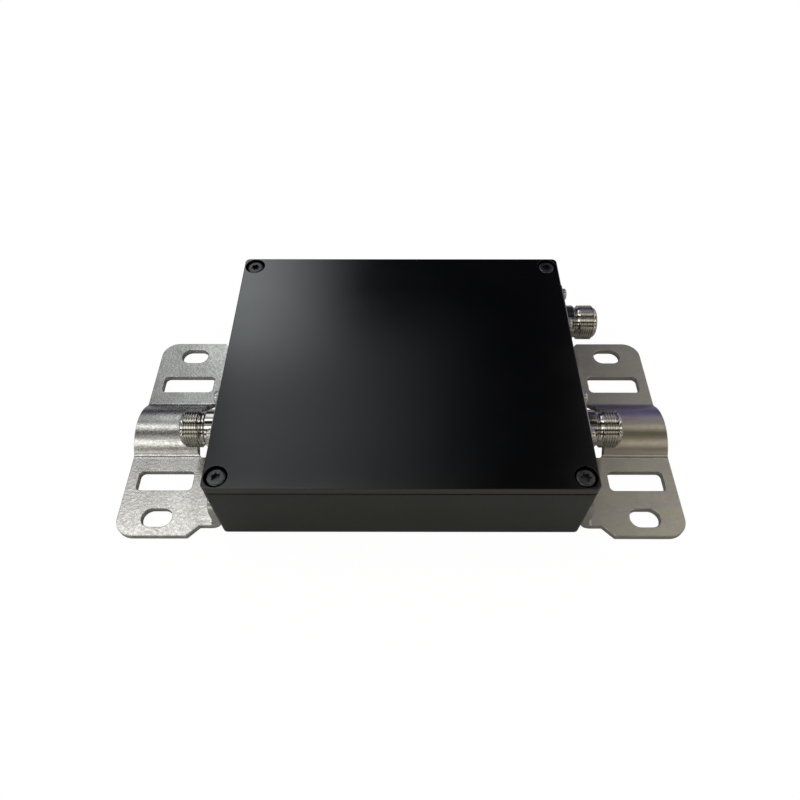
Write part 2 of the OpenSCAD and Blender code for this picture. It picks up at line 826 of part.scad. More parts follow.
// What lies below one side of the saddle, in Y and Z: a round top of radius r that
// a fillet of radius fillet_r runs into
module below_saddle(r, fillet_r) {
    translate([0, saddle_z])
        circle(r);
    difference() {
        polygon([[0, saddle_z], [fillet_y, fillet_z], [fillet_y, saddle_z]]);
        translate([fillet_y, fillet_z])
            circle(fillet_r);
    }
}

// Section of the sheet across the saddle, in Y and Z, the sheet's length wide
module saddle_section() {
    intersection() {
        translate([-bracket_l / 2, 0])
            square([bracket_l, saddle_r]);
        difference() {
            union() {
                translate([-bracket_l / 2, 0])
                    square([bracket_l, sheet_t]);
                for (end = [0, 1])
                    mirror([end, 0])
                        below_saddle(saddle_r, saddle_fillet_r);
            }
            for (end = [0, 1])
                mirror([end, 0])
                    below_saddle(saddle_r - sheet_t, saddle_fillet_r + sheet_t);
        }
    }
}

// Section of a tab, its bend and its foot in the flat sheet, in X and Z
module tab_section() {
    bend_outer = bend_r + sheet_t;
    translate([flat_x, 0])
        square([side_x + neck_w - flat_x, sheet_t]);
    translate([side_x, bend_outer])
        square([sheet_t, tab_h - bend_outer]);
    translate([flat_x, bend_outer])
        intersection() {
            difference() {
                circle(bend_outer);
                circle(bend_r);
            }
            translate([-bend_outer, -bend_outer])
                square(bend_outer);
        }
}

module tab(y) {
    difference() {
        translate([0, y + tab_w / 2, 0])
            rotate([90, 0, 0])
                linear_extrude(tab_w)
                    tab_section();
        for (end = [0, 1])
            translate([side_x - cut, y, tab_h])
                rotate([90, 0, 90])
                    linear_extrude(sheet_t + 2 * cut)
                        mirror([end, 0])
                            translate([tab_w / 2, 0])
                                corner_waste(tab_corner_r);
    }
}

module bracket() {
    difference() {
        union() {
            intersection() {
                translate([flat_x, bracket_y, 0])
                    rotate([90, 0, 90])
                        linear_extrude(outer_x - flat_x)
                            saddle_section();
                linear_extrude(saddle_r)
                    bracket_outline();
            }
            tab(tab_front_y);
            tab(tab_rear_y);
        }
        translate([0, 0, -cut])
            linear_extrude(saddle_r)
                bracket_openings();
        at_tab_screws() {
            translate([0, 0, -sheet_t - cut])
                cylinder(r = tab_screw_d / 2 + hole_gap, h = sheet_t + 2 * cut);
            translate([0, 0, -tab_head_sink])
                cylinder(r = tab_head_d / 2 + hole_gap, h = tab_head_sink + cut);
        }
    }
}

module bracket_screws() {
    color("#a8a6a0")
        at_tab_screws()
            translate([0, 0, -tab_head_sink])
                cross_screw(tab_screw_d, sheet_t - tab_head_sink + tab_screw_grip,
                            tab_head_d, tab_head_h);
}

module bracket_left() {
    color("#cfccc6")
        mirror([1, 0, 0])
            bracket();
}

module bracket_right() {
    color("#8f8a86")
        bracket();
}

housing();
tuning_plate();
cover();
cover_gasket();
cover_screws();
plate_screws();
resonator_screws();
tuning_lock_nuts();
coupling_lock_nuts();
for (b = BANDS, i = CHAMBERS)
    resonator(b, i);
for (b = BANDS, i = CHAMBERS)
    tuning_screw(b, i);
for (b = BANDS, i = IRISES)
    coupling_screw(b, i);
for (j = JACKS)
    jack_shell(j);
for (j = JACKS)
    jack_insulator(j);
for (j = JACKS)
    jack_contact(j);
for (j = JACKS)
    jack_seal(j);
for (j = JACKS)
    jack_screws(j);
tap_wire("low", "low");  // tap_wire_low
tap_wire("high", "high");  // tap_wire_high
tap_wire("antenna", "low");  // antenna_wire_low
antenna_wire_high();
bracket_left();
bracket_right();
mirror([1, 0, 0]) bracket_screws();  // bracket_screws_left
bracket_screws();  // bracket_screws_right
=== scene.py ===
# RF duplexer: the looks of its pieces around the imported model, in metres.
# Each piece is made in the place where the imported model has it, +X towards the
# side with two jacks and -Y towards the front wall.
import json
import math

import bmesh
import bpy
from mathutils import Matrix, Vector


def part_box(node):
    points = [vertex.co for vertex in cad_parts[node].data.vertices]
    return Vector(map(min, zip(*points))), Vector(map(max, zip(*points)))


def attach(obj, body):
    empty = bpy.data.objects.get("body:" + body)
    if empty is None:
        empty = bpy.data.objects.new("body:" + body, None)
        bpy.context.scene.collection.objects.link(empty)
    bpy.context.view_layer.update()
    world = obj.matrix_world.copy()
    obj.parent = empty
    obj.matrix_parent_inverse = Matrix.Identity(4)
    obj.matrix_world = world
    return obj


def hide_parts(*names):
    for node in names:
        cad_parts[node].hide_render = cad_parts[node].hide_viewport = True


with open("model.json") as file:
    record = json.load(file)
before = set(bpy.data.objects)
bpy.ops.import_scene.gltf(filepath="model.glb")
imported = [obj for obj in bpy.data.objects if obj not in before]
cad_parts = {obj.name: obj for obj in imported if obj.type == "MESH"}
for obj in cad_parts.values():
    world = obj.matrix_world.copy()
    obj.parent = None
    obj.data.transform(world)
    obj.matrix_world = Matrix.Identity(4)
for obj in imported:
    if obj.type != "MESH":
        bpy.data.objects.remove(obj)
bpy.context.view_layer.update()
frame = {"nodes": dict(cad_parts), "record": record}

MM = 0.001
ROOT = "duplexer"
SIDES = ("left", "right")
JACKS = ("antenna", "low", "high")
BLACK = (0.0, 0.0, 0.0)
WHITE = (1.0, 1.0, 1.0)


# Nodes of materials and of geometry trees

def add(tree, kind, inputs=None, **settings):
    """A node with its settings, and with values or links on its inputs"""
    node = tree.nodes.new(kind)
    for key, value in settings.items():
        setattr(node, key, value)
    for key, value in (inputs or {}).items():
        if isinstance(value, bpy.types.NodeSocket):
            tree.links.new(value, node.inputs[key])
        else:
            node.inputs[key].default_value = value
    return node


def maths(tree, operation, *values, clamp=False):
    """The result of a Math node"""
    return add(tree, "ShaderNodeMath", dict(enumerate(values)),
               operation=operation, use_clamp=clamp).outputs[0]


def spread(tree, value, low, high, start=0.0, end=1.0, smooth=False):
    """A value between start and end, mapped to between low and high"""
    node = add(tree, "ShaderNodeMapRange", {"Value": value, "From Min": start, "From Max": end,
                                            "To Min": low, "To Max": high},
               interpolation_type="SMOOTHSTEP" if smooth else "LINEAR")
    return node.outputs["Result"]


def blend_colour(tree, share, first, second, mode="MIX"):
    """Two colours, mixed by a share of the second"""
    node = add(tree, "ShaderNodeMix", data_type="RGBA", blend_type=mode)
    for socket, value in ((node.inputs[0], share), (node.inputs[6], first), (node.inputs[7], second)):
        if isinstance(value, bpy.types.NodeSocket):
            tree.links.new(value, socket)
        else:
            socket.default_value = value if isinstance(value, float) else (*value, 1.0)
    return node.outputs[2]


def new_finish(name, colour, metallic, roughness, **sockets):
    """A material with one Principled shader, with its tree and that shader"""
    material = bpy.data.materials.new(name)
    material.use_nodes = True
    tree = material.node_tree
    shader = tree.nodes["Principled BSDF"]
    shader.inputs["Base Color"].default_value = (*colour, 1.0)
    shader.inputs["Metallic"].default_value = metallic
    shader.inputs["Roughness"].default_value = roughness
    for key, value in sockets.items():
        shader.inputs[key.replace("_", " ")].default_value = value
    return material, tree, shader


def stretched_place(tree, stretch=(1.0, 1.0, 1.0)):
    """Object coordinates, stretched along each axis"""
    coordinates = add(tree, "ShaderNodeTexCoord").outputs["Object"]
    return add(tree, "ShaderNodeVectorMath", {0: coordinates, 1: stretch},
               operation="MULTIPLY").outputs["Vector"]


def mottle(tree, size, detail=2.0, where=None, roughness=0.5):
    """Cloudy noise with blotches of a size in millimetres"""
    node = add(tree, "ShaderNodeTexNoise",
               {"Vector": where or stretched_place(tree), "Scale": 1 / (size * MM), "Detail": detail,
                "Roughness": roughness})
    return node.outputs["Fac"]


def noise_between(tree, noise, low, high, margin=0.3):
    """Noise mapped to between low and high, with its rare ends cut off by a margin"""
    return spread(tree, noise, low, high, margin, 1 - margin)


def relief(tree, shader, *layers):
    """Bump layers, each a height from 0 to 1 and its depth in millimetres"""
    below = None
    for height, depth in layers:
        bump = add(tree, "ShaderNodeBump", {"Height": height, "Distance": depth * MM, "Strength": 1.0})
        if below:
            tree.links.new(below, bump.inputs["Normal"])
        below = bump.outputs["Normal"]
    tree.links.new(below, shader.inputs["Normal"])


def completed(finish, colour, gloss, *layers):
    """The material of a new finish, with its colour, roughness and relief linked"""
    material, tree, shader = finish
    tree.links.new(colour, shader.inputs["Base Color"])
    tree.links.new(gloss, shader.inputs["Roughness"])
    relief(tree, shader, *layers)
    return material


# Finishes. Sizes of noise and depths of relief are in millimetres.

# Roughness of coats and steel where a viewer leaves their noise out
PLAIN_ROUGHNESS = 0.35
# The part of the noise, at each end, that is all dark or all light in tone
TONE_MARGIN = 0.35

# Bands of colour on the right bracket: a violet painted reflection of blue light on the
# saddle's rear slope, and a warm tint in front of the saddle. Each has its middle and reach
# along Y from the saddle's middle in millimetres, tone, strength; then how far the bands wander
TINT_AND_REFLECTION_BANDS = (
    (8.5, 4.5, (0.52, 0.46, 0.86), 0.55),
    (-7.0, 9.0, (0.98, 0.86, 0.68), 0.5),
)
BAND_WANDER = 2.5
# Faint streaks over it: where in the noise one starts and is full, and its tone
HEAT_STREAKS = (
    (0.5, 0.62, (0.88, 0.86, 1.0)),
    (0.5, 0.38, (0.93, 1.0, 0.86)),
)
HEAT_STREAK_STRENGTH = 0.6


def powder_coat(name, dark, light, roughness, specular):
    """Black powder coat: a fine pebbled skin over faint clouds of gloss"""
    finish = new_finish(name, dark, 0.0, PLAIN_ROUGHNESS, Specular_IOR_Level=specular)
    tree = finish[1]
    cloud = mottle(tree, 22, 3)
    pebble = mottle(tree, 0.75, 2)
    fine = mottle(tree, 0.28, 1)
    tone = blend_colour(tree, spread(tree, mottle(tree, 1.3, 4), 0, 1, 0.35, 0.7), dark, light)
    gloss = maths(tree, "ADD", noise_between(tree, cloud, *roughness), spread(tree, fine, -0.03, 0.03))
    return completed(finish, tone, gloss, (pebble, 0.008), (fine, 0.003))


def tumbled_steel(name, dark, light, roughness, dents_share=1.0, tint=None):
    """Sheet steel out of a tumbling drum: mottled, peened all over with small dents"""
    finish = new_finish(name, light, 1.0, PLAIN_ROUGHNESS)
    tree = finish[1]
    cloud = mottle(tree, 9, 4, roughness=0.6)
    speckle = mottle(tree, 1.6, 5, roughness=0.72)
    dents = add(tree, "ShaderNodeTexVoronoi", {"Vector": stretched_place(tree), "Scale": 1 / (1.1 * MM)},
                feature="SMOOTH_F1").outputs["Distance"]
    share = maths(tree, "ADD", noise_between(tree, cloud, 0, 0.45),
                  noise_between(tree, speckle, 0, 0.55), clamp=True)
    colour = blend_colour(tree, share, dark, light)
    if tint:
        colour = tint(tree, colour)
    gloss = noise_between(tree, speckle, roughness[1], roughness[0])
    return completed(finish, colour, gloss, (dents, 0.03 * dents_share),
                     (mottle(tree, 0.5, 3), 0.02 * dents_share))


def tints_and_painted_reflection(tree, colour):
    """A violet band of painted reflection on the saddle's rear slope, a warm band in front of it and faint
    streaks, across the sheet
    """
    low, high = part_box("bracket_right")
    along = add(tree, "ShaderNodeSeparateXYZ", {"Vector": stretched_place(tree)}).outputs["Y"]
    wander = noise_between(tree, mottle(tree, 14, 2), -BAND_WANDER * MM, BAND_WANDER * MM)
    y = maths(tree, "ADD", along, wander)
    middle = (low.y + high.y) / 2
    # Each band multiplies the colour; the violet one is a painted reflection on the rear slope
    for centre, reach, tone, strength in TINT_AND_REFLECTION_BANDS:
        distance = maths(tree, "ABSOLUTE", maths(tree, "SUBTRACT", y, middle + centre * MM))
        band = spread(tree, distance, strength, 0.0, 0.0, reach * MM, smooth=True)
        colour = blend_colour(tree, band, colour, tone, "MULTIPLY")
    streaks = mottle(tree, 6, 4, where=stretched_place(tree, (0.4, 1.5, 1.0)), roughness=0.65)
    for start, full, tone in HEAT_STREAKS:
        share = spread(tree, streaks, 0.0, HEAT_STREAK_STRENGTH, start, full)
        colour = blend_colour(tree, share, colour, tone, "MULTIPLY")
    return colour


def plated(name, dark, light, roughness, size=2.5, depth=0.004):
    """A machined and plated metal, faintly clouded"""
    finish = new_finish(name, light, 1.0, roughness[0])
    tree = finish[1]
    cloud = mottle(tree, size, 4, roughness=0.6)
    colour = blend_colour(tree, noise_between(tree, cloud, 0, 1, TONE_MARGIN), dark, light)
    gloss = noise_between(tree, mottle(tree, size / 3, 3), *roughness)
    return completed(finish, colour, gloss, (mottle(tree, size / 8, 2), depth))


def milled(name, dark, light, roughness):
    """Milled and plated sheet, with the cutter's arcs in it"""
    finish = new_finish(name, light, 1.0, roughness[0])
    tree = finish[1]
    arcs = add(tree, "ShaderNodeTexWave",
               {"Vector": stretched_place(tree, (1, 0.12, 1)), "Scale": 160.0, "Distortion": 1.5,
                "Detail": 2.0, "Detail Scale": 2.0},
               wave_type="RINGS", rings_direction="Y").outputs["Fac"]
    share = maths(tree, "ADD", spread(tree, arcs, 0, 0.5), spread(tree, mottle(tree, 6, 3), 0, 0.5),
                  clamp=True)
    colour = blend_colour(tree, share, dark, light)
    return completed(finish, colour, spread(tree, arcs, *roughness), (arcs, 0.01))


def moulded(name, dark, light, roughness, size=1.2, depth=0.01, **sockets):
    """Rubber or plastic with a dull skin"""
    finish = new_finish(name, light, 0.0, roughness[0], **sockets)
    tree = finish[1]
    cloud = mottle(tree, size, 4)
    colour = blend_colour(tree, noise_between(tree, cloud, 0, 1, TONE_MARGIN), dark, light)
    gloss = noise_between(tree, mottle(tree, size / 2, 2), *roughness)
    return completed(finish, colour, gloss, (mottle(tree, size / 3, 2), depth))


# Each finish: what makes it, its dark and light tone, its range of roughness, and more
RECIPES = {
    "housing_paint": (powder_coat, (0.014, 0.0155, 0.013), (0.021, 0.023, 0.02), (0.36, 0.42),
                      {"specular": 0.5}),
    "cover_paint": (powder_coat, (0.0004, 0.0005, 0.0007), (0.0012, 0.0013, 0.0016), (0.12, 0.15),
                    {"specular": 0.9}),
    "gasket_rubber": (moulded, (0.01, 0.01, 0.01), (0.018, 0.018, 0.018), (0.6, 0.75), {}),
    "black_screw": (plated, (0.07, 0.072, 0.075), (0.12, 0.123, 0.127), (0.26, 0.36),
                    {"size": 0.8, "depth": 0.003}),
    "plate_aluminium": (milled, (0.66, 0.66, 0.66), (0.8, 0.8, 0.79), (0.22, 0.34), {}),
    "resonator_plating": (plated, (0.74, 0.71, 0.63), (0.88, 0.86, 0.8), (0.14, 0.24), {}),
    "tuning_brass": (plated, (0.6, 0.45, 0.2), (0.8, 0.64, 0.32), (0.18, 0.32), {}),
    "nut_steel": (plated, (0.55, 0.55, 0.54), (0.7, 0.7, 0.7), (0.2, 0.34), {}),
    "screw_steel": (plated, (0.5, 0.49, 0.47), (0.68, 0.67, 0.65), (0.2, 0.32), {"size": 1.2}),
    "jack_nickel": (plated, (0.56, 0.54, 0.49), (0.66, 0.64, 0.59), (0.05, 0.1),
                    {"size": 1.5, "depth": 0.0}),
    "jack_insulator": (moulded, (0.74, 0.73, 0.69), (0.85, 0.84, 0.81), (0.45, 0.6),
                       {"size": 0.8, "depth": 0.004, "Subsurface_Weight": 0.15,
                        "Subsurface_Scale": 0.002}),
    "contact_gold": (plated, (0.72, 0.5, 0.2), (0.9, 0.68, 0.32), (0.16, 0.26), {"size": 1.0}),
    "wire_copper": (plated, (0.6, 0.3, 0.18), (0.85, 0.5, 0.34), (0.2, 0.34), {"size": 1.0}),
    "bracket_bright": (tumbled_steel, (0.42, 0.41, 0.385), (0.8, 0.79, 0.765), (0.18, 0.32), {}),
    # bracket_dull is the same tumbled steel as bracket_bright: its darker tones are painted shade, for the
    # lesser light on the right bracket, and its tint holds a painted reflection
    "bracket_dull": (tumbled_steel, (0.43, 0.415, 0.375), (0.52, 0.5, 0.455), (0.28, 0.34),
                     {"dents_share": 0.5, "tint": tints_and_painted_reflection}),
}
FINISHES = {name: make(name, dark, light, roughness, **more)
            for name, (make, dark, light, roughness, more) in RECIPES.items()}


# Meshes

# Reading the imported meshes: points nearer than MERGE are one, faces that turn less
# than FLAT_TURN are one, and a wall that turns less than RING_TURN at each of its
# edges and has RING_FACES faces is round. Cuts keep PLANE_STEP apart, and take
# points nearer than SNAP as their own. Lengths are in millimetres.
MERGE = 0.006
FLAT_TURN = math.radians(0.3)
RING_TURN = math.radians(32)
RING_FACES = 8
PLANE_STEP = 0.4
SNAP = 0.02
# What an edge with one face counts as, which is far over RING_TURN
OPEN_EDGE_TURN = 9


def show(name, mesh):
    """An object at the origin for a mesh"""
    piece = bpy.data.objects.new(name, mesh)
    bpy.context.scene.collection.objects.link(piece)
    return piece


def bake(rough, name):
    """The object's shape with its modifiers, as a plain mesh in a new object"""
    bpy.context.view_layer.update()
    shapes = bpy.context.evaluated_depsgraph_get()
    mesh = bpy.data.meshes.new_from_object(rough.evaluated_get(shapes), preserve_all_data_layers=True,
                                           depsgraph=shapes)
    mesh.name = name
    bpy.data.objects.remove(rough)
    return show(name, mesh)


def even_shading(rough, name, turn=50):
    """Smooth shading that keeps flats flat and edges over a turn in degrees crisp"""
    rough.data.shade_smooth()
    rough.data.set_sharp_from_angle(angle=math.radians(turn))
    rough.modifiers.new("flats", "WEIGHTED_NORMAL").keep_sharp = True
    return bake(rough, name)


def edges_broken(rough, name, radius, steps=3, turn=30):
    """The object with its sharp edges rounded to a radius in millimetres"""
    bevel = rough.modifiers.new("edges", "BEVEL")
    bevel.width = radius * MM
    bevel.segments = steps
    bevel.limit_method = "ANGLE"
    bevel.angle_limit = math.radians(turn)
    bevel.use_clamp_overlap = False
    return even_shading(bake(rough, name), name)


def box_of(points):
    """The lowest and highest corner of a box round points"""
    columns = list(zip(*points))
    return Vector(map(min, columns)), Vector(map(max, columns))


def box_of_faces(faces):
    """The lowest and highest corner of a box round faces"""
    return box_of([vert.co for face in faces for vert in face.verts])


def spreading_from(face, passes):
    """The faces reached from one face over the edges that pass"""
    reached, waiting = {face}, [face]
    while waiting:
        for edge in waiting.pop().edges:
            if passes(edge):
                fresh = set(edge.link_faces) - reached
                reached |= fresh
                waiting.extend(fresh)
    return reached


def middles_of_rings(work):
    """Middles of the walls that run smoothly round, such as those of holes"""
    middles, left = [], set(work.faces)
    while left:
        ring = spreading_from(next(iter(left)),
                              lambda edge: edge.calc_face_angle(OPEN_EDGE_TURN) < RING_TURN)
        left -= ring
        if len(ring) >= RING_FACES:
            low, high = box_of_faces(ring)
            middles.append((low + high) / 2)
    return middles


def boxes_of_solids(node):
    """The boxes of the separate solids in a CAD node"""
    work = bmesh.new()
    work.from_mesh(frame["nodes"][node].data)
    bmesh.ops.remove_doubles(work, verts=work.verts, dist=MERGE * MM)
    boxes, left = [], set(work.faces)
    while left:
        solid = spreading_from(next(iter(left)), lambda edge: True)
        left -= solid
        boxes.append(box_of_faces(solid))
    work.free()
    return sorted(boxes, key=lambda box: tuple(box[0]))


def middles_of_solids(node):
    """The middles of the separate solids in a CAD node"""
    return [(low + high) / 2 for low, high in boxes_of_solids(node)]


def cut_planes(middles, axis):
    """Where to cut across an axis to pass through middles, with none too near the last"""
    planes = []
    for place in sorted(middle[axis] for middle in middles):
        if not planes or place - planes[-1] > PLANE_STEP * MM:
            planes.append(place)
    return planes


def merged_copy(node, name, parted=True):
    """A copy of a CAD node with whole faces, parted only through the middles of holes"""
    work = bmesh.new()
    work.from_mesh(frame["nodes"][node].data)
    bmesh.ops.remove_doubles(work, verts=work.verts, dist=MERGE * MM)
    bmesh.ops.dissolve_limit(work, angle_limit=FLAT_TURN, verts=work.verts, edges=work.edges)
    middles = middles_of_rings(work) if parted else []
    for axis in range(3):
        across = Vector([float(axis == k) for k in range(3)])
        for place in cut_planes(middles, axis):
            cut = bmesh.ops.bisect_plane(work, geom=work.verts[:] + work.edges[:] + work.faces[:],
                                         dist=SNAP * MM, plane_co=across * place, plane_no=across)
            for edge in cut["geom_cut"]:
                if isinstance(edge, bmesh.types.BMEdge):
                    edge.seam = True
    bmesh.ops.dissolve_limit(work, angle_limit=FLAT_TURN, verts=work.verts, edges=work.edges,
                             delimit={"SEAM"})
    mesh = bpy.data.meshes.new(name)
    work.to_mesh(mesh)
    work.free()
    return show(name, mesh)


def dress(piece, finish, body, *nodes):
    """Gives a finished piece its material and its body, and hides the CAD nodes it stands for"""
    piece.data.materials.clear()
    piece.data.materials.append(FINISHES[finish])
    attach(piece, body)
    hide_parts(*nodes)


def softened(node, ending, finish, radius):
    """A piece that is its CAD node with the edges rounded, kept inside the node's box"""
    name = f"{node}_{ending}"
    piece = edges_broken(merged_copy(node, name), name, radius)
    low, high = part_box(node)
    for vert in piece.data.vertices:
        vert.co = [min(max(place, low[axis]), high[axis]) for axis, place in enumerate(vert.co)]
    dress(piece, finish, ROOT, node)


# New shapes, in millimetres about the Z axis

# How far a cutter stands past the surface that it cuts
PAST = 1


def rounded_path(corners, steps=4):
    """The points of a closed path along corners (x, y, radius), each turned in an arc"""
    path = []
    for number, (x, y, radius) in enumerate(corners):
        here = Vector((x, y))
        back = (Vector(corners[number - 1][:2]) - here).normalized()
        on = (Vector(corners[(number + 1) % len(corners)][:2]) - here).normalized()
        half = back.angle(on) / 2
        if radius == 0:
            path.append(here)
            continue
        centre = here + (back + on).normalized() * radius / math.sin(half)
        start = here + back * radius / math.tan(half) - centre
        end = here + on * radius / math.tan(half) - centre
        turn = -start.angle_signed(end)
        path += [centre + Matrix.Rotation(turn * step / steps, 2) @ start for step in range(steps + 1)]
    return path


def rectangle(width, depth, radius, steps=4):
    """A rounded rectangle about the origin"""
    x, y = width / 2, depth / 2
    return rounded_path([(x, -y, radius), (x, y, radius), (-x, y, radius), (-x, -y, radius)], steps)


def polar(radius, turn):
    """The point at a radius and a turn from +X"""
    return radius * math.cos(turn), radius * math.sin(turn)


def closed_mesh(name, points, faces):
    """An object from points in millimetres and faces, the faces turned outwards"""
    mesh = bpy.data.meshes.new(name)
    mesh.from_pydata([Vector(point) * MM for point in points], [], faces)
    work = bmesh.new()
    work.from_mesh(mesh)
    bmesh.ops.recalc_face_normals(work, faces=work.faces)
    work.to_mesh(mesh)
    work.free()
    return show(name, mesh)


def turned(name, profile, sides, hollow=False):
    """A solid turned from (radius, height) points; a hollow one's profile closes on itself"""
    points, rows, faces = [], [], []
    for radius, height in profile:
        start = len(points)
        if radius == 0:
            points.append((0, 0, height))
            rows.append([start] * sides)
        else:
            points += [(*polar(radius, math.tau * k / sides), height) for k in range(sides)]
            rows.append(list(range(start, start + sides)))
    for below, above in zip(rows, rows[1:] + rows[:1] * hollow):
        for k in range(sides):
            nearby = (k + 1) % sides
            faces.append(tuple(dict.fromkeys((below[k], below[nearby], above[nearby], above[k]))))
    return closed_mesh(name, points, faces)


def turned_solid(name, side, sides):
    """A solid turned from the (radius, height) points of its side, flat at both ends"""
    return turned(name, [(0, side[0][1]), *side, (0, side[-1][1])], sides)


def prism(name, outline, bottom, top, bottom_share=1.0):
    """A straight or tapered solid over an outline"""
    count = len(outline)
    points = [(x * bottom_share, y * bottom_share, bottom) for x, y in outline]
    points += [(x, y, top) for x, y in outline]
    faces = [tuple(range(count)), tuple(range(count, 2 * count))]
    faces += [(k, (k + 1) % count, (k + 1) % count + count, k + count) for k in range(count)]
    return closed_mesh(name, points, faces)


def together(name, *pieces):
    """Several objects as one"""
    work = bmesh.new()
    for piece in pieces:
        work.from_mesh(piece.data)
        bpy.data.objects.remove(piece)
    mesh = bpy.data.meshes.new(name)
    work.to_mesh(mesh)
    work.free()
    return show(name, mesh)


def combined(piece, other, operation):
    """The piece after a Boolean operation with another, which is used up"""
    change = piece.modifiers.new(operation.lower(), "BOOLEAN")
    change.operation = operation
    change.object = other
    change.solver = "EXACT"
    result = bake(piece, piece.name)
    bpy.data.objects.remove(other)
    return result


def raised(piece, height):
    """The piece after a move up in millimetres"""
    piece.data.transform(Matrix.Translation(Vector((0.0, 0.0, height)) * MM))
    return piece


def copied(piece, name, place):
    """Another of the same piece, at a place"""
    mesh = piece.data.copy()
    mesh.transform(place)
    return show(name, mesh)


# Threads: rings of points for each turn, more on the jacks, and the groove's depth
# and the widths of crest and root as shares of the pitch
RINGS_PER_TURN = 6
COUPLING_RINGS = 12
THREAD_DEPTH_SHARE = 0.56
CREST_SHARE = 0.3
ROOT_SHARE = 0.14


def thread_heights(start, end, pitch, rings=RINGS_PER_TURN):
    """Heights between two ends, close enough together to carry a thread"""
    count = math.ceil((end - start) / pitch * rings)
    return [start + (end - start) * k / count for k in range(count + 1)]


def cut_thread(piece, radius, pitch, start, end):
    """Sinks a helical groove into a solid's skin between two heights, with tapered ends"""
    root = radius - THREAD_DEPTH_SHARE * pitch
    for vert in piece.data.vertices:
        x, y, z = vert.co / MM
        if start <= z <= end and math.hypot(x, y) > root:
            phase = (z / pitch - math.atan2(y, x) / math.tau) % 1.0
            side = (abs(2 * phase - 1) - CREST_SHARE) / (1 - CREST_SHARE - ROOT_SHARE)
            crest = radius - (radius - root) * min(max(side, 0.0), 1.0)
            reach = max(root, min(crest, root + (z - start), root + (end - z)))
            vert.co = Vector((x, y, 0)).normalized() * reach * MM + Vector((0, 0, z)) * MM
    return piece


# The camera stands where the photograph was taken from. Its place is in metres, and
# its turns are in degrees.

CAMERA_PLACE = (0.0, -0.16605, 0.24303)
CAMERA_TILT = 35.3
CAMERA_YAW = 0.135
CAMERA_ROLL = -0.06
FOCAL_PIXELS = 637
PICTURE_PIXELS = 800
SENSOR_WIDTH = 36.0
NEAREST_SEEN = 0.01


def make_camera():
    """The camera, with the photograph's place and field of view"""
    data = bpy.data.cameras.new("camera")
    data.sensor_width = SENSOR_WIDTH
    data.lens = data.sensor_width * FOCAL_PIXELS / PICTURE_PIXELS
    data.clip_start = NEAREST_SEEN
    camera = bpy.data.objects.new("camera", data)
    bpy.context.scene.collection.objects.link(camera)
    turn = (Matrix.Rotation(math.radians(CAMERA_YAW), 4, "Z")
            @ Matrix.Rotation(math.radians(CAMERA_TILT), 4, "X")
            @ Matrix.Rotation(math.radians(CAMERA_ROLL), 4, "Z"))
    camera.matrix_world = Matrix.Translation(CAMERA_PLACE) @ turn
    bpy.context.scene.camera = camera


# Light: a white room to the camera, and to everything else a dim room. It has long
# lamps that run from left to right, windows behind on the left, and on the right some
# fill over a violet dusk. Each is a strip: the height of its middle, its reach to
# either side, how far it fades there, and its colour. A height is the angle over the
# rear horizon as seen along X, in degrees: 90 is overhead, 180 the front horizon.

ROOM_LIGHT = (0.013, 0.014, 0.017)
LAMPS = (
    (70.5, 6, 4, (2.25, 2.25, 2.2)),
    (101, 5, 4, (0.5, 0.5, 0.48)),
    (118, 8, 4, (2.1, 2.1, 2.0)),
    (146, 6, 4, (1.2, 1.17, 1.1)),
    (175, 9, 4, (1.2, 1.16, 1.06)),
    (205, 14, 4, (0.7, 0.68, 0.62)),
)
WINDOWS = (
    (38, 11, 5.5, (2.0, 2.1, 2.1)),
    (54, 8, 4, (0.78, 0.82, 0.86)),
)
FILL = (46, 14, 7, (0.5, 0.48, 0.46))
DUSK = (8, 30, 12, (0.20, 0.165, 0.38))

# Shares of the lamps' light from left to right, by the X part of the direction, from
# -1 to 1. On the left it is all of the light, which starts at the first X and is full
# at the second. Heights from HIGH_FROM to HIGH_TO go over to the high pair of these.
LEFT_FROM, LEFT_TO = -0.04, -0.27
HIGH_LEFT_FROM, HIGH_LEFT_TO = 0.18, -0.36
HIGH_FROM, HIGH_TO = 45, 56
# In the middle it is a little, and more at the front, between these two heights
MIDDLE_SHARE = 0.012
MIDDLE_FRONT_SHARE = 0.1
MIDDLE_FRONT_FROM, MIDDLE_FRONT_TO = 85.0, 110.0
# On the right it is a share of each of red, green and blue
RIGHT_FROM, RIGHT_TO = 0.285, 0.325
RIGHT_SHARE = (0.68, 0.64, 0.57)
# The windows fade to a share at their left ends, and the middle has a share of dusk
WINDOW_END_FROM, WINDOW_END_TO, WINDOW_END_SHARE = -0.24, -0.34, 0.15
DUSK_MIDDLE_SHARE = 0.1


def strip(tree, height, middle, reach, edge):
    """1 within a reach of an angle, fading to 0 over its edge"""
    off = maths(tree, "ABSOLUTE", maths(tree, "SUBTRACT", height, float(middle)))
    return spread(tree, off, 1.0, 0.0, reach - edge, reach + edge, smooth=True)


def glow(tree, share, colour):
    """A share of a colour"""
    return blend_colour(tree, share, BLACK, colour)


def sum_of_lights(tree, light, more):
    """Two colours of light, added"""
    return blend_colour(tree, 1.0, light, more, "ADD")


def directions(tree):
    """The X part of a ray's direction, and its height, up to 270 under the front horizon"""
    way = add(tree, "ShaderNodeTexCoord").outputs["Generated"]
    parts = add(tree, "ShaderNodeSeparateXYZ", {"Vector": way}).outputs
    turn = maths(tree, "MULTIPLY", maths(tree, "ARCTAN2", parts["Z"], parts["Y"]), 180 / math.pi)
    lap = maths(tree, "MULTIPLY", maths(tree, "LESS_THAN", turn, -90.0), 360.0)
    return parts["X"], maths(tree, "ADD", turn, lap)


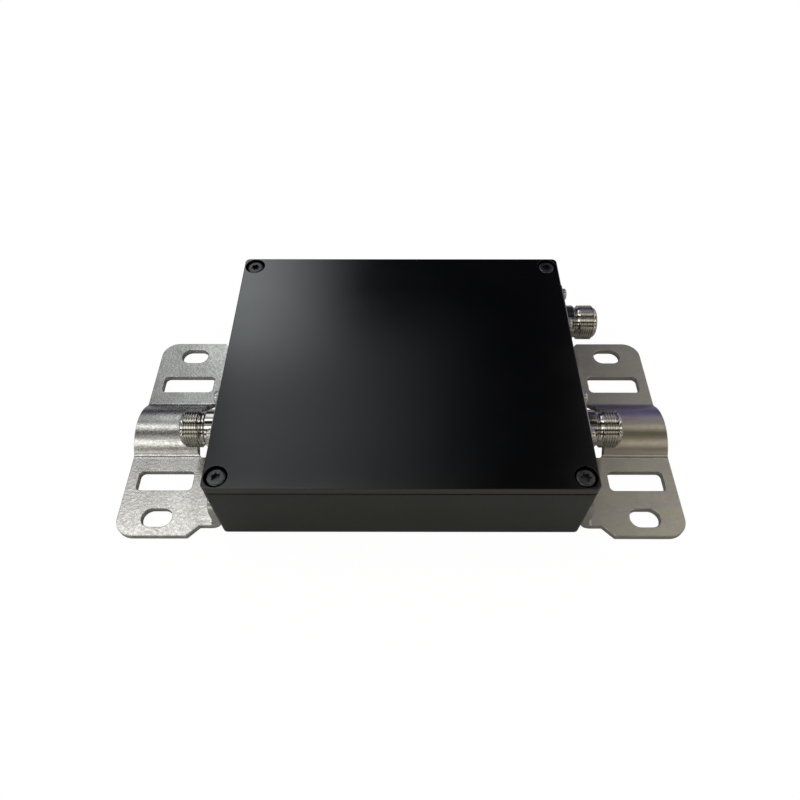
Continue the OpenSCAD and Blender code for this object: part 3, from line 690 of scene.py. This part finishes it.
def share_on_left(tree, x, height):
    """The share of the light on the left, which reaches further across from high up"""
    low = spread(tree, x, 1.0, 0.0, LEFT_TO, LEFT_FROM, smooth=True)
    high = spread(tree, x, 1.0, 0.0, HIGH_LEFT_TO, HIGH_LEFT_FROM, smooth=True)
    rise = spread(tree, height, 0.0, 1.0, HIGH_FROM, HIGH_TO, smooth=True)
    return maths(tree, "ADD", low, maths(tree, "MULTIPLY", rise, maths(tree, "SUBTRACT", high, low)))


def room_light(tree):
    """The light of the dim room from every direction"""
    x, height = directions(tree)
    left = share_on_left(tree, x, height)
    right = spread(tree, x, 0.0, 1.0, RIGHT_FROM, RIGHT_TO, smooth=True)
    middle_share = spread(tree, height, MIDDLE_SHARE, MIDDLE_FRONT_SHARE,
                          MIDDLE_FRONT_FROM, MIDDLE_FRONT_TO, smooth=True)
    lamp_share = blend_colour(tree, 1.0, glow(tree, maths(tree, "MAXIMUM", left, middle_share), WHITE),
                              glow(tree, right, RIGHT_SHARE), "LIGHTEN")
    light = glow(tree, 1.0, ROOM_LIGHT)
    for middle, reach, edge, colour in LAMPS:
        lamp = glow(tree, strip(tree, height, middle, reach, edge), colour)
        light = sum_of_lights(tree, light, blend_colour(tree, 1.0, lamp, lamp_share, "MULTIPLY"))
    end = spread(tree, x, WINDOW_END_SHARE, 1.0, WINDOW_END_TO, WINDOW_END_FROM, smooth=True)
    near_window = maths(tree, "MULTIPLY", left, end)
    at_dusk = maths(tree, "MAXIMUM", right, DUSK_MIDDLE_SHARE)
    strips = [(near_window, window) for window in WINDOWS] + [(right, FILL), (at_dusk, DUSK)]
    for side, (middle, reach, edge, colour) in strips:
        share = maths(tree, "MULTIPLY", side, strip(tree, height, middle, reach, edge))
        light = sum_of_lights(tree, light, glow(tree, share, colour))
    return light


def make_world():
    """The white room to the camera, and the dim room to everything else"""
    world = bpy.data.worlds.new("room")
    bpy.context.scene.world = world
    world.use_nodes = True
    tree = world.node_tree
    tree.nodes.clear()
    white = add(tree, "ShaderNodeBackground", {"Color": (*WHITE, 1.0), "Strength": 1.0}).outputs[0]
    dim = add(tree, "ShaderNodeBackground", {"Color": room_light(tree), "Strength": 1.0}).outputs[0]
    camera_ray = add(tree, "ShaderNodeLightPath").outputs["Is Camera Ray"]
    mix = add(tree, "ShaderNodeMixShader", {0: camera_ray, 1: dim, 2: white}).outputs[0]
    add(tree, "ShaderNodeOutputWorld", {"Surface": mix})


# The floor: its size in metres and its drop below the object in millimetres. To the
# camera most of it is its own glow, and the rest is the light on it, with the shadow.
FLOOR_SIZE = 6.0
FLOOR_DROP = 0.02
FLOOR_COLOUR = (0.6, 0.6, 0.6)
FLOOR_GLOW_SHARE = 0.88
FLOOR_GLOW = 1.1


def make_floor():
    """A white floor that keeps the object's shadow"""
    half = FLOOR_SIZE / 2
    mesh = bpy.data.meshes.new("floor")
    corners = [(x * half, y * half, -FLOOR_DROP * MM) for x, y in ((-1, -1), (1, -1), (1, 1), (-1, 1))]
    mesh.from_pydata(corners, [], [(0, 1, 2, 3)])
    floor = show("floor", mesh)
    material = bpy.data.materials.new("floor")
    material.use_nodes = True
    tree = material.node_tree
    tree.nodes.clear()
    lit = add(tree, "ShaderNodeBsdfDiffuse", {"Color": (*FLOOR_COLOUR, 1.0)}).outputs[0]
    white = add(tree, "ShaderNodeEmission", {"Color": (*WHITE, 1.0), "Strength": FLOOR_GLOW}).outputs[0]
    camera_ray = add(tree, "ShaderNodeLightPath").outputs["Is Camera Ray"]
    share = maths(tree, "MULTIPLY", camera_ray, FLOOR_GLOW_SHARE)
    mix = add(tree, "ShaderNodeMixShader", {0: share, 1: lit, 2: white}).outputs[0]
    add(tree, "ShaderNodeOutputMaterial", {"Surface": mix})
    mesh.materials.append(material)


make_camera()
make_world()
make_floor()
bpy.context.scene.view_settings.view_transform = "Standard"


# Casing and brackets

COVER_CORNER_R = 2.0
COVER_CORNER_STEPS = 6
COVER_EDGE_R = 0.35
COUNTERBORE_R = 4.4
COUNTERBORE_DEPTH = 2.4
COVER_HOLE_R = 2.15
COVER_HOLE_SIDES = 72
# The chamfer at the mouth of a hole
MOUTH_R = 0.12

# CAD nodes with their edges rounded: how the name goes on, finish and radius
SOFTENED = {
    "housing": ("painted", "housing_paint", 0.3),
    "bracket_left": ("sheet", "bracket_bright", 0.35),
    "bracket_right": ("sheet", "bracket_dull", 0.35),
    "tuning_plate": ("milled", "plate_aluminium", 0.25),
    "cover_gasket": ("rubber", "gasket_rubber", 0.2),
}


def make_cover():
    """The cover: a slab with broken edges, and four stepped screw holes in it"""
    low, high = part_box("cover")
    low, high = low / MM, high / MM
    outline = rectangle(high.x - low.x, high.y - low.y, COVER_CORNER_R, COVER_CORNER_STEPS)
    slab = edges_broken(prism("slab", outline, low.z, high.z), "slab", COVER_EDGE_R)
    step = high.z - COUNTERBORE_DEPTH
    bit = turned_solid("bit", [(COVER_HOLE_R, low.z - PAST), (COVER_HOLE_R, step), (COUNTERBORE_R, step),
                               (COUNTERBORE_R, high.z - MOUTH_R), (COUNTERBORE_R + MOUTH_R, high.z),
                               (COUNTERBORE_R + MOUTH_R, high.z + PAST)], COVER_HOLE_SIDES)
    bits = [copied(bit, "bit", Matrix.Translation((*place.xy, 0.0)))
            for place in middles_of_solids("cover_screws")]
    bpy.data.objects.remove(bit)
    cover = combined(slab, together("bits", *bits), "DIFFERENCE")
    dress(even_shading(cover, "cover_painted"), "cover_paint", ROOT, "cover")


make_cover()
for node, look in SOFTENED.items():
    softened(node, *look)


# Jacks

FLANGE_W = 25.4
FLANGE_T = 2.5
FLANGE_CORNER_R = 1.6
FLANGE_CORNER_STEPS = 6
FLANGE_EDGE_R = 0.25
FLANGE_HOLE_R = 1.65
FLANGE_HOLE_SIDES = 32
BARREL_SIDES = 96
BARREL_FOOT = 0.5
COLLAR_R = 7.95
COLLAR_END = 7.4
COLLAR_EDGE_R = 0.25
UNDERCUT_R = 7.0
UNDERCUT_EDGE_R = 0.3
THREAD_R = 7.94
THREAD_PITCH = 25.4 / 24
THREAD_START, THREAD_END = 10.2, 16.2
MOUTH_END = 18.2
MOUTH_CHAMFER = 0.8
MOUTH_EDGE_R = 0.15
BORE_R = 4.05
BORE_DEPTH = 9.1
BORE_CHAMFER = 0.4
INSULATOR_R = 5.03
GROOVE_MIDDLE_R, GROOVE_WIDTH, GROOVE_DEPTH = 8.0, 1.66, 1.1

# What is in a jack: how the name goes on, finish and edge radius
JACK_INSIDES = {
    "insulator": ("moulded", "jack_insulator", 0.15),
    "contact": ("gilt", "contact_gold", 0.06),
    "seal": ("ring", "gasket_rubber", 0.3),
}


def make_barrel():
    """The round part of a jack's shell: collar, undercut, coupling thread and nose"""
    slope_end = COLLAR_END + COLLAR_R - UNDERCUT_R
    outline = rounded_path([
        (0, BARREL_FOOT, 0), (COLLAR_R, BARREL_FOOT, 0), (COLLAR_R, COLLAR_END, COLLAR_EDGE_R),
        (UNDERCUT_R, slope_end, UNDERCUT_EDGE_R), (UNDERCUT_R, THREAD_START, 0),
        (UNDERCUT_R, THREAD_END, 0), (UNDERCUT_R, MOUTH_END - MOUTH_CHAMFER, UNDERCUT_EDGE_R),
        (UNDERCUT_R - MOUTH_CHAMFER, MOUTH_END, MOUTH_EDGE_R), (0, MOUTH_END, 0)])
    before = [tuple(point) for point in outline if point.y <= THREAD_START]
    after = [tuple(point) for point in outline if point.y >= THREAD_END]
    heights = thread_heights(THREAD_START, THREAD_END, THREAD_PITCH, COUPLING_RINGS)
    thread = [(THREAD_R, height) for height in heights]
    barrel = turned("barrel", before + thread + after, BARREL_SIDES)
    return cut_thread(barrel, THREAD_R, THREAD_PITCH, THREAD_START, THREAD_END)


def make_shell_bore():
    """The cutter of a shell's bore, wider for the insulator at the bottom"""
    floor = MOUTH_END - BORE_DEPTH
    mouth_r = BORE_R + BORE_CHAMFER
    return turned_solid("bore", [(INSULATOR_R, -PAST), (INSULATOR_R, floor), (BORE_R, floor),
                                 (BORE_R, MOUTH_END - BORE_CHAMFER), (mouth_r, MOUTH_END),
                                 (mouth_r, MOUTH_END + PAST)], BARREL_SIDES)


def make_flange_holes():
    """The cutters of the flange's screw holes, as far apart as the CAD's screws"""
    mouth_r = FLANGE_HOLE_R + MOUTH_R
    hole = turned_solid("hole", [(FLANGE_HOLE_R, -PAST), (FLANGE_HOLE_R, FLANGE_T - MOUTH_R),
                                 (mouth_r, FLANGE_T), (mouth_r, FLANGE_T + PAST)], FLANGE_HOLE_SIDES)
    low, high = box_of(middles_of_solids("low_jack_screws"))
    half = (high.z - low.z) / 2
    holes = [copied(hole, "hole", Matrix.Translation((x * half, y * half, 0.0)))
             for x in (-1, 1) for y in (-1, 1)]
    bpy.data.objects.remove(hole)
    return holes


def make_shell_shape():
    """A jack's shell about the Z axis, its flange at the bottom"""
    flange = prism("flange", rectangle(FLANGE_W, FLANGE_W, FLANGE_CORNER_R, FLANGE_CORNER_STEPS),
                   0, FLANGE_T)
    flange = edges_broken(flange, "flange", FLANGE_EDGE_R)
    shell = combined(flange, make_barrel(), "UNION")
    bore = make_shell_bore()
    inner, outer = GROOVE_MIDDLE_R - GROOVE_WIDTH / 2, GROOVE_MIDDLE_R + GROOVE_WIDTH / 2
    groove = turned("groove", [(inner, -PAST), (outer, -PAST), (outer, GROOVE_DEPTH),
                               (inner, GROOVE_DEPTH)], BARREL_SIDES, hollow=True)
    return combined(shell, together("cutters", bore, groove, *make_flange_holes()), "DIFFERENCE")


def out_of_wall(node):
    """Turns +Z outwards from a side wall, on the axis of a node that stands on it"""
    low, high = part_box(node)
    middle = (low + high) / 2
    side = math.copysign(1.0, middle.x)
    wall = low.x if side > 0 else high.x
    return Matrix.Translation((wall, middle.y, middle.z)) @ Matrix.Rotation(side * math.pi / 2, 4, "Y")


def make_jacks():
    """The three jacks, each of one shape of shell with its insides"""
    shape = make_shell_shape()
    for jack in JACKS:
        node = f"{jack}_jack_shell"
        shell = copied(shape, "shell", out_of_wall(node))
        dress(even_shading(shell, f"{node}_turned"), "jack_nickel", ROOT, node)
        for inside, look in JACK_INSIDES.items():
            softened(f"{jack}_jack_{inside}", *look)
    bpy.data.objects.remove(shape)


make_jacks()


# Screws

# Head radius, head height, thread radius, pitch and sides of each kind of screw
SCREW_KINDS = {
    "cover_screws": (3.7, 1.8, 2.0, 0.7, 48),
    "plate_screws": (2.2, 1.6, 1.25, 0.45, 28),
    "resonator_screws": (2.75, 2.8, 1.5, 0.5, 32),
    "jack_screws": (2.75, 2.0, 1.5, 0.5, 32),
    "bracket_screws": (3.8, 1.4, 2.0, 0.7, 48),
}
LOBED_SCREWS = "cover_screws"
# Radii of a head's upper and lower edge, as shares of its height
HEAD_EDGE_SHARE = 0.45
HEAD_FOOT_SHARE = 0.08
HEAD_STEPS = 5
# The plain length under a head
NECK = 0.4
# Recesses: their depth is a share of the head's height, and the rest are shares of
# its radius, but for the cross's taper, which is of its own width and rise
LOBES, LOBE_STEPS = 6, 72
LOBE_DEPTH_SHARE = 0.95
LOBE_REACH, LOBE_DIP = 0.52, 0.26
CROSS_DEPTH_SHARE = 0.58
CROSS_REACH, CROSS_HALF_WIDTH, CROSS_CORNER_R = 0.58, 0.13, 0.06
CROSS_TAPER, CROSS_RISE = 0.55, 0.5
# Edges over this turn in degrees stay crisp on screws and nuts
SMALL_PARTS_TURN = 40
# Each set of screws has a seed of its own, from this one on
SCREW_SEED = 11


def make_lobes(head_r, depth):
    """The cutter of a recess with six lobes, below z = 0"""
    outline = []
    for k in range(LOBE_STEPS):
        turn = math.tau * k / LOBE_STEPS
        reach = head_r * LOBE_REACH * (1 - LOBE_DIP * (1 - math.cos(LOBES * turn)) / 2)
        outline.append(polar(reach, turn))
    return prism("recess", outline, -depth, PAST)


def make_cross(head_r, depth):
    """The cutter of a tapered cross recess, below z = 0"""
    long, half, turn = head_r * CROSS_REACH, head_r * CROSS_HALF_WIDTH, head_r * CROSS_CORNER_R
    arm = [(half, half, turn), (half, long, turn), (-half, long, turn)]
    corners = arm
    for _ in range(3):
        arm = [(-y, x, r) for x, y, r in arm]
        corners = corners + arm
    return prism("recess", rounded_path(corners, 3), -depth, depth * CROSS_RISE, CROSS_TAPER)


def make_screw_shape(kind, length):
    """A screw about the Z axis, the underside of its head at z = 0"""
    head_r, head_h, thread_r, pitch, sides = SCREW_KINDS[kind]
    head = rounded_path([(0, 0, 0), (head_r, 0, HEAD_FOOT_SHARE * head_h),
                         (head_r, head_h, HEAD_EDGE_SHARE * head_h), (0, head_h, 0)], HEAD_STEPS)
    shank = [(thread_r, height) for height in thread_heights(-length, -NECK, pitch)]
    profile = [(0, -length), *shank, (thread_r, 0), *[tuple(point) for point in head[1:]]]
    screw = cut_thread(turned("screw", profile, sides), thread_r, pitch, -length, -NECK)
    if kind == LOBED_SCREWS:
        recess = make_lobes(head_r, head_h * LOBE_DEPTH_SHARE)
    else:
        recess = make_cross(head_r, head_h * CROSS_DEPTH_SHARE)
    return combined(screw, raised(recess, head_h), "DIFFERENCE")


def new_placer():
    """A tree that puts a shape at every point, leaning one way and turned by chance"""
    tree = bpy.data.node_groups.new("put_at_points", "GeometryNodeTree")
    for label, way, kind in (("Points", "INPUT", "Geometry"), ("Shape", "INPUT", "Object"),
                             ("Lean", "INPUT", "Vector"), ("Turn", "INPUT", "Float"),
                             ("Seed", "INPUT", "Int"), ("Finish", "INPUT", "Material"),
                             ("Set", "OUTPUT", "Geometry")):
        tree.interface.new_socket(label, in_out=way, socket_type="NodeSocket" + kind)
    given = add(tree, "NodeGroupInput").outputs
    shape = add(tree, "GeometryNodeObjectInfo", {"Object": given["Shape"]}).outputs["Geometry"]
    chance = add(tree, "FunctionNodeRandomValue", {2: 0.0, 3: given["Turn"], "Seed": given["Seed"]},
                 data_type="FLOAT").outputs[1]
    turn = add(tree, "FunctionNodeAxisAngleToRotation", {"Angle": chance}).outputs[0]
    lean = add(tree, "FunctionNodeEulerToRotation", {0: given["Lean"]}).outputs[0]
    way = add(tree, "FunctionNodeRotateRotation", {0: lean, 1: turn}, rotation_space="LOCAL").outputs[0]
    placed = add(tree, "GeometryNodeInstanceOnPoints", {"Points": given["Points"], "Instance": shape,
                                                        "Rotation": way}).outputs[0]
    solid = add(tree, "GeometryNodeRealizeInstances", {0: placed}).outputs[0]
    finished = add(tree, "GeometryNodeSetMaterial", {0: solid, "Material": given["Finish"]}).outputs[0]
    add(tree, "NodeGroupOutput", {0: finished})
    return tree


PLACER = new_placer()


def set_of(name, shape, places, finish, lean=(0.0, 0.0, 0.0), turn=0.0, seed=0):
    """One object with a shape at every place, each turned by chance up to a turn"""
    mesh = bpy.data.meshes.new(name)
    mesh.from_pydata(places, [], [])
    points = show(name, mesh)
    putting = points.modifiers.new("put", "NODES")
    putting.node_group = PLACER
    values = {"Shape": shape, "Lean": lean, "Turn": turn, "Seed": seed, "Finish": FINISHES[finish]}
    for item in PLACER.interface.items_tree:
        if item.name in values:
            putting[item.identifier] = values[item.name]
    return bake(points, name)


def make_screw_set(node, kind, seed):
    """The screws of one CAD node, each on its own axis there"""
    solids = boxes_of_solids(node)
    low, high = solids[0]
    reach = high - low
    across = max(range(3), key=lambda axis: reach[axis])
    head_h = SCREW_KINDS[kind][1] * MM
    side = 1.0 if across == 2 else math.copysign(1.0, low[across])
    places = []
    for low, high in solids:
        place = (low + high) / 2
        place[across] = (high if side > 0 else low)[across] - side * head_h
        places.append(place)
    finish = "black_screw" if kind == LOBED_SCREWS else "screw_steel"
    shape = make_screw_shape(kind, (reach[across] - head_h) / MM)
    lean = (0.0, 0.0, 0.0) if across == 2 else (0.0, side * math.pi / 2, 0.0)
    screws = set_of(f"{node}_cut", shape, places, finish, lean, math.tau, seed)
    bpy.data.objects.remove(shape)
    dress(even_shading(screws, f"{node}_cut", SMALL_PARTS_TURN), finish, ROOT, node)


screw_sets = [(node, node) for node in ("cover_screws", "plate_screws", "resonator_screws")]
screw_sets += [(f"{jack}_jack_screws", "jack_screws") for jack in JACKS]
screw_sets += [(f"bracket_screws_{side}", "bracket_screws") for side in SIDES]
for seed, (node, kind) in enumerate(screw_sets, SCREW_SEED):
    make_screw_set(node, kind, seed)


# Resonators, wires and what adjusts them

# Thread radius and pitch of each kind of adjusting screw, and its nut's width and height
ADJUSTERS = {"tuning": (2.5, 0.8, 8.0, 2.7), "coupling": (2.0, 0.7, 7.0, 2.2)}
ROD_SIDES = 40
DRIVER_SLOT_WIDTH, DRIVER_SLOT_DEPTH, DRIVER_SLOT_CORNER_R = 0.9, 1.1, 0.05
# A nut: shares of its width and of the pitch, the chamfer's slope, and lengths
NUT_FACE_SHARE = 0.47
NUT_MOUTH_SHARE = 0.4
NUT_SLOPE = math.radians(30)
NUT_CORNER_R = 0.15
NUT_GAP = 0.03
NUT_SIDES, NUT_BORE_SIDES = 96, 48
# A wire: the radius and steps of its ends, and the turns in degrees that make an edge
WIRE_EDGE_R, WIRE_EDGE_STEPS = 0.12, 2
WIRE_BEVEL_TURN, WIRE_CRISP_TURN = 60, 70
RESONATOR_EDGE_R = 0.25


def make_adjusting_shape(radius, pitch, length):
    """A threaded rod with a driver slot in its top"""
    rod = turned_solid("rod", [(radius, height) for height in thread_heights(0, length, pitch)], ROD_SIDES)
    rod = cut_thread(rod, radius, pitch, 0, length)
    outline = rectangle(2 * radius + PAST, DRIVER_SLOT_WIDTH, DRIVER_SLOT_CORNER_R, 1)
    slot = prism("slot", outline, length - DRIVER_SLOT_DEPTH, length + PAST)
    return combined(rod, slot, "DIFFERENCE")


def make_nut_shape(radius, pitch, width, height):
    """A hexagon nut with chamfered corners and bore"""
    corner = width / math.sqrt(3)
    outline = rounded_path([(*polar(corner, k * math.pi / 3), NUT_CORNER_R) for k in range(6)], 2)
    face = NUT_FACE_SHARE * width
    slope = (corner - face) * math.tan(NUT_SLOPE)
    trim = turned_solid("trim", [(face, 0), (corner, slope), (corner, height - slope), (face, height)],
                        NUT_SIDES)
    nut = combined(prism("nut", outline, 0, height), trim, "INTERSECT")
    bore = radius + NUT_GAP
    mouth = bore + NUT_MOUTH_SHARE * pitch
    bit = turned_solid("bit", [(mouth + PAST, -PAST), (bore, mouth - bore), (bore, height - mouth + bore),
                               (mouth + PAST, height + PAST)], NUT_BORE_SIDES)
    return combined(nut, bit, "DIFFERENCE")


def make_adjusting_screws():
    """Every adjusting screw, on the body of its own that slides"""
    shapes = {}
    for node in sorted(frame["nodes"]):
        kind = node.split("_")[0]
        if not node.startswith(f"{kind}_screw") or kind not in ADJUSTERS:
            continue
        radius, pitch = ADJUSTERS[kind][:2]
        low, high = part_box(node)
        length = round((high.z - low.z) / MM, 3)
        if (kind, length) not in shapes:
            shapes[kind, length] = make_adjusting_shape(radius, pitch, length)
        middle = (low + high) / 2
        rod = copied(shapes[kind, length], "rod", Matrix.Translation((*middle.xy, low.z)))
        dress(even_shading(rod, f"{node}_cut"), "tuning_brass", node.replace("_screw", ""), node)
    for shape in shapes.values():
        bpy.data.objects.remove(shape)


def make_lock_nuts():
    """The nuts of both kinds of adjusting screw"""
    for kind, (radius, pitch, width, height) in ADJUSTERS.items():
        node = f"{kind}_lock_nuts"
        shape = make_nut_shape(radius, pitch, width, height)
        places = [((low.x + high.x) / 2, (low.y + high.y) / 2, low.z)
                  for low, high in boxes_of_solids(node)]
        nuts = set_of(f"{node}_cut", shape, places, "nut_steel")
        bpy.data.objects.remove(shape)
        dress(even_shading(nuts, f"{node}_cut", SMALL_PARTS_TURN), "nut_steel", ROOT, node)


def make_wire(node):
    """A round wire from the CAD's eight-sided one"""
    wire = merged_copy(node, "wire", parted=False)
    wire = edges_broken(wire, "wire", WIRE_EDGE_R, WIRE_EDGE_STEPS, WIRE_BEVEL_TURN)
    wire.modifiers.new("round", "SUBSURF").levels = 1
    wire = even_shading(bake(wire, "wire"), f"{node}_drawn", WIRE_CRISP_TURN)
    dress(wire, "wire_copper", ROOT, node)


make_adjusting_screws()
make_lock_nuts()
for node in sorted(frame["nodes"]):
    if "_wire_" in node:
        make_wire(node)
    if node.startswith("resonator_") and node != "resonator_screws":
        softened(node, "turned", "resonator_plating", RESONATOR_EDGE_R)


# CAD nodes keep their meshes and take the finish of their material slot

for part in frame["record"]["subparts"]:
    mesh = frame["nodes"][part["node"]].data
    mesh.materials.clear()
    mesh.materials.append(FINISHES[part["material_slot"]])
